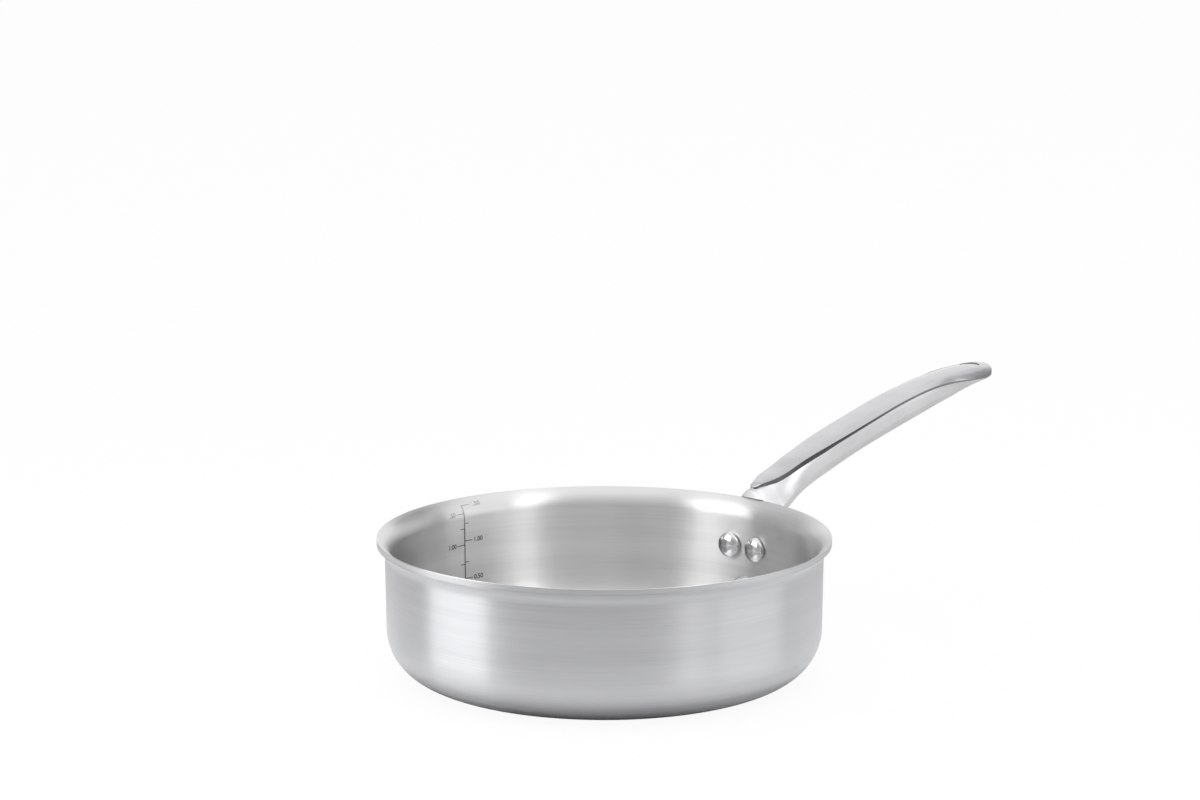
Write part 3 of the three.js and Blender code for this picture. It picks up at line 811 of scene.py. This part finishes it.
def handle():
    """The casting: the grip and the pad joined, cut to fit round the pan and bored for hanging."""
    profile = sheet_face(-SEAT_CLEARANCE)
    profile += [(profile[-1][0], HEIGHT + SEAT_CLEARANCE), (0, HEIGHT + SEAT_CLEARANCE)]
    envelope = add_object("pan_envelope", *revolve(profile, TURN_SEGMENTS, closed=False), None, None)
    tip_level = HEIGHT + HANDLE_RISE
    hole = hole_mesh(HANGING_HOLE_RADIUS, [HEIGHT, tip_level + HOLE_LINE_RISE, 2 * HEIGHT])
    steps = [(pad_mesh(), "UNION"), (envelope, "DIFFERENCE"), (hole, "DIFFERENCE")]
    obj = combined(grip_mesh(), steps)
    obj.name = "cast_handle"
    obj.data.name = "cast_handle"
    tidy_normals(obj.data, HANDLE_SMOOTH_ANGLE)
    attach(obj, "root")
    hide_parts("handle")


handle()


# The graduation etched on the inner wall

SCALE_BEARING = HANDLE_BEARING + math.radians(43.3)
SCALE_LIFT = 0.04
SCALE_LINE = 0.6
TICK_LINE = 0.4
SCALE_BOTTOM = 14
SCALE_TOP = 60.4
SCALE_ROWS = 60
RIGHT_TICKS = [(60.4, "1.50"), (52.2, None), (43.8, "1.00"), (33.6, None), (25.7, "0.50")]
LEFT_TICKS = [(56.9, "1.50"), (49.6, None), (41.9, "1.00"), (32.6, None), (24.6, "0.50")]
LONG_TICK = 4.6
SHORT_TICK = 2.6
LABEL_GAP = 0.7
LABEL_HEIGHT = 2.2
LABEL_SIZE = LABEL_HEIGHT * 1.4
LABEL_WEIGHT = 0.07
INNER_FACE = sheet_face(SHEET)


def wall_lengths():
    """Distances along the inner face from the axis, one for each of its points."""
    lengths = [0]
    for (r0, z0), (r1, z1) in zip(INNER_FACE, INNER_FACE[1:]):
        lengths.append(lengths[-1] + math.hypot(r1 - r0, z1 - z0))
    return lengths


FACE_LENGTHS = wall_lengths()


def length_at(height):
    """The distance along the inner face at which it reaches a height."""
    for k in range(len(INNER_FACE) - 1):
        low, high = INNER_FACE[k][1], INNER_FACE[k + 1][1]
        if low <= height <= high and high > low:
            share = (height - low) / (high - low)
            return FACE_LENGTHS[k] + (FACE_LENGTHS[k + 1] - FACE_LENGTHS[k]) * share
    return FACE_LENGTHS[-1]


def on_wall(across, length):
    """A point just off the inner wall, by its distances right of the scale's line and along the face."""
    index = max(k for k in range(len(FACE_LENGTHS) - 1) if FACE_LENGTHS[k] <= length)
    share = (length - FACE_LENGTHS[index]) / (FACE_LENGTHS[index + 1] - FACE_LENGTHS[index])
    (r0, z0), (r1, z1) = INNER_FACE[index], INNER_FACE[index + 1]
    slope = math.atan2(z1 - z0, r1 - r0)
    radius = r0 + (r1 - r0) * share - SCALE_LIFT * math.sin(slope)
    turn = SCALE_BEARING - across / (WALL_RADIUS - SHEET)
    height = z0 + (z1 - z0) * share + SCALE_LIFT * math.cos(slope)
    return radius * math.cos(turn), radius * math.sin(turn), height


def strip(left, right, low, high, rows):
    """A thin strip of the wall's surface as vertices and faces."""
    vertices = []
    for k in range(rows + 1):
        length = low + (high - low) * k / rows
        vertices += [on_wall(left, length), on_wall(right, length)]
    faces = [(2 * k, 2 * k + 1, 2 * k + 3, 2 * k + 2) for k in range(rows)]
    return vertices, faces


def label(text, across, length, align):
    """Plain numerals laid on the wall as vertices and faces."""
    curve = bpy.data.curves.new("label", "FONT")
    curve.body = text
    curve.size = LABEL_SIZE
    curve.offset = LABEL_WEIGHT
    curve.align_x = align
    curve.align_y = "CENTER"
    obj = new_object("label", curve)
    graph = bpy.context.evaluated_depsgraph_get()
    mesh = bpy.data.meshes.new_from_object(obj.evaluated_get(graph))
    vertices = [on_wall(across + v.co.x, length + v.co.y) for v in mesh.vertices]
    faces = [tuple(p.vertices) for p in mesh.polygons]
    bpy.data.objects.remove(obj)
    bpy.data.curves.remove(curve)
    return vertices, faces


def graduation():
    """The scale's line with the ticks and numbers on both its sides, as one thin mesh."""
    half = SCALE_LINE / 2
    bottom, top = length_at(SCALE_BOTTOM), length_at(SCALE_TOP) + TICK_LINE / 2
    parts = [strip(-half, half, bottom, top, SCALE_ROWS)]
    for ticks, side, align in ((RIGHT_TICKS, 1, "LEFT"), (LEFT_TICKS, -1, "RIGHT")):
        for height, text in ticks:
            reach = side * (LONG_TICK if text else SHORT_TICK)
            low, high = length_at(height) - TICK_LINE / 2, length_at(height) + TICK_LINE / 2
            left, right = sorted((side * half, reach))
            parts.append(strip(left, right, low, high, 1))
            if text:
                parts.append(label(text, reach + side * LABEL_GAP, length_at(height), align))
    vertices, faces = [], []
    for part_vertices, part_faces in parts:
        faces += [tuple(corner + len(vertices) for corner in face) for face in part_faces]
        vertices += part_vertices
    mesh = bpy.data.meshes.new("graduation")
    mesh.from_pydata([tuple(c * MM for c in v) for v in vertices], [], faces)
    mesh.materials.append(MARK)
    obj = new_object("graduation", mesh)
    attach(obj, "root")


graduation()


# The floor, the light and the camera

FLOOR_GAP = 0.0001
FLOOR_HALF_SIZE = 9
# The floor's tone in reflections by the distance from the pan's axis in metres, painted shadow and light: dark
# under the pan and pale beside it
FLOOR_REACH = 0.5
FLOOR_PAINTED_LIGHT_AND_SHADE = [
    (0, 0.1), (0.085, 0.1), (0.096, 0.6), (0.105, 0.95), (0.135, 0.9), (0.17, 0.6), (0.24, 0.56), (0.3, 0.42),
    (0.4, 0.46),
]
FLOOR_LIGHTEST = 0.95
# That tone rises with the direction along this axis, a painted light brighter at the floor's sides than in
# front:
# the range of directions, then the range of factors
FLOOR_AXIS = FORWARD * 0.93 + RIGHT * 0.37
FLOOR_PAINTED_SIDE_LIGHT = (-0.8, 0.1, 1, 1.35)
# What the camera sees of the floor: its colour, and the share that glows white and hides the light's falloff
FLOOR_SEEN = 0.9
FLOOR_GLOW = 0.93

# The studio in reflections: white beyond the pan along this axis and above it, and a darker tone elsewhere
STUDIO_AXIS = FORWARD * 0.97 + RIGHT * 0.26
STUDIO_BEYOND = (0.35, 0.8)
STUDIO_ABOVE = (0.15, 0.9)
STUDIO_DARKEST = 0.38
# The unlit corner of the studio that the handle's tip reflects: how close to it, then what is left of the tone
DARK_CORNER = (FORWARD * 0.68 + RIGHT * 0.52 + UP * 0.52).normalized()
DARK_CORNER_RANGE = (0.935, 0.99, 1, 0.32)

# Each lamp's place in metres to the right of the pan, beyond it and above it, its width, height and level
LAMP_TARGET = Vector((0, 0, 0.04))
LAMPS = {
    "left_panel": (-0.47, -0.12, 0.2, 0.36, 0.5, 2.05),
    "right_softbox": (1.18, -0.22, 0.3, 0.95, 0.6, 1.1),
    "right_high_softbox": (0.85, -0.77, 0.85, 0.42, 1.3, 1.5),
    "top_softbox": (0.4, 0, 1.5, 2.4, 2.4, 0.25),
}


def dot_node(nodes, links, vector, direction):
    node = nodes.new("ShaderNodeVectorMath")
    node.operation = "DOT_PRODUCT"
    links.new(vector, node.inputs[0])
    node.inputs[1].default_value = direction
    return node.outputs["Value"]


def floor():
    """A white floor that the camera sees as almost pure white, with the pan's soft shadow kept, while
    reflections see a painted shadow under the pan and painted light beside it.
    """
    material, nodes, links, shader = new_material("white_floor")
    shader.inputs["Roughness"].default_value = 0.9
    path = nodes.new("ShaderNodeLightPath")
    place = nodes.new("ShaderNodeTexCoord").outputs["Object"]
    away = nodes.new("ShaderNodeVectorMath")
    away.operation = "LENGTH"
    links.new(place, away.inputs[0])
    ramp = nodes.new("ShaderNodeValToRGB")
    links.new(range_node(nodes, links, away.outputs["Value"], 0, FLOOR_REACH, 0, 1), ramp.inputs[0])
    while len(ramp.color_ramp.elements) < len(FLOOR_PAINTED_LIGHT_AND_SHADE):
        ramp.color_ramp.elements.new(1)
    for element, (distance, level) in zip(ramp.color_ramp.elements, FLOOR_PAINTED_LIGHT_AND_SHADE):
        element.position = distance / FLOOR_REACH
        element.color = (level, level, level, 1)
    heading = nodes.new("ShaderNodeVectorMath")
    heading.operation = "NORMALIZE"
    links.new(place, heading.inputs[0])
    facing = dot_node(nodes, links, heading.outputs[0], FLOOR_AXIS)
    painted_side_light = range_node(nodes, links, facing, *FLOOR_PAINTED_SIDE_LIGHT)
    # The tone seen in reflections: painted shadow under the pan, painted light beside it and at the sides
    tone = math_node(nodes, links, "MULTIPLY", ramp.outputs["Color"], painted_side_light)
    tone = math_node(nodes, links, "MINIMUM", tone, FLOOR_LIGHTEST)
    camera_ray = path.outputs["Is Camera Ray"]
    seen = math_node(nodes, links, "MULTIPLY", camera_ray, FLOOR_SEEN)
    links.new(math_node(nodes, links, "MAXIMUM", tone, seen), shader.inputs["Base Color"])
    glow = nodes.new("ShaderNodeEmission")
    glow.inputs["Strength"].default_value = 1
    mix = nodes.new("ShaderNodeMixShader")
    links.new(math_node(nodes, links, "MULTIPLY", camera_ray, FLOOR_GLOW), mix.inputs[0])
    links.new(shader.outputs[0], mix.inputs[1])
    links.new(glow.outputs[0], mix.inputs[2])
    links.new(mix.outputs[0], nodes["Material Output"].inputs["Surface"])
    mesh = bpy.data.meshes.new("floor")
    corners = [(x * FLOOR_HALF_SIZE, y * FLOOR_HALF_SIZE) for x, y in ((-1, -1), (1, -1), (1, 1), (-1, 1))]
    mesh.from_pydata([(x, y, -FLOOR_GAP) for x, y in corners], [], [(0, 1, 2, 3)])
    mesh.materials.append(material)
    new_object("floor", mesh)


def world():
    """The studio: white where the camera looks past the pan, toned in reflections."""
    scene_world = bpy.data.worlds.new("studio")
    bpy.context.scene.world = scene_world
    scene_world.use_nodes = True
    nodes, links = scene_world.node_tree.nodes, scene_world.node_tree.links
    background = nodes["Background"]
    background.inputs["Color"].default_value = (1, 1, 1, 1)
    place = nodes.new("ShaderNodeTexCoord").outputs["Generated"]
    height = nodes.new("ShaderNodeSeparateXYZ")
    links.new(place, height.inputs[0])
    facing = dot_node(nodes, links, place, STUDIO_AXIS)
    beyond = range_node(nodes, links, facing, *STUDIO_BEYOND, 0, 1)
    above = range_node(nodes, links, height.outputs["Z"], *STUDIO_ABOVE, 0, 1)
    share = math_node(nodes, links, "MAXIMUM", beyond, above)
    tone = range_node(nodes, links, share, 0, 1, STUDIO_DARKEST, 1)
    aside = dot_node(nodes, links, place, DARK_CORNER)
    shade = range_node(nodes, links, aside, *DARK_CORNER_RANGE)
    tone = math_node(nodes, links, "MULTIPLY", tone, shade)
    path = nodes.new("ShaderNodeLightPath")
    rays = path.outputs["Is Camera Ray"], path.outputs["Is Transmission Ray"]
    seen = math_node(nodes, links, "MAXIMUM", *rays)
    links.new(math_node(nodes, links, "MAXIMUM", tone, seen), background.inputs["Strength"])


def softbox(name, right, beyond, above, width, height, level):
    """A soft rectangular lamp that faces the pan. The level is how bright its face looks, where 1 is white."""
    light = bpy.data.lights.new(name, "AREA")
    light.shape = "RECTANGLE"
    light.size = width
    light.size_y = height
    light.energy = level * math.pi * width * height
    obj = new_object(name, light)
    offset = RIGHT * right + FORWARD * beyond + UP * above
    obj.location = LAMP_TARGET + offset
    obj.rotation_euler = offset.to_track_quat("Z", "Y").to_euler()


def camera():
    """The camera that sees the pan as the photograph does."""
    data = bpy.data.cameras.new("camera")
    data.lens = LENS
    data.sensor_width = SENSOR_WIDTH
    data.clip_start = CLIP_START
    obj = new_object("camera", data)
    obj.location = (-FORWARD * CAMERA_DISTANCE + UP * CAMERA_HEIGHT) * MM
    level = FORWARD * math.cos(CAMERA_YAW) - RIGHT * math.sin(CAMERA_YAW)
    aim = level * math.cos(CAMERA_PITCH) - UP * math.sin(CAMERA_PITCH)
    obj.rotation_euler = aim.to_track_quat("-Z", "Y").to_euler()
    bpy.context.scene.camera = obj


floor()
world()
for lamp, settings in LAMPS.items():
    softbox(lamp, *settings)
camera()
bpy.context.scene.view_settings.view_transform = "Standard"
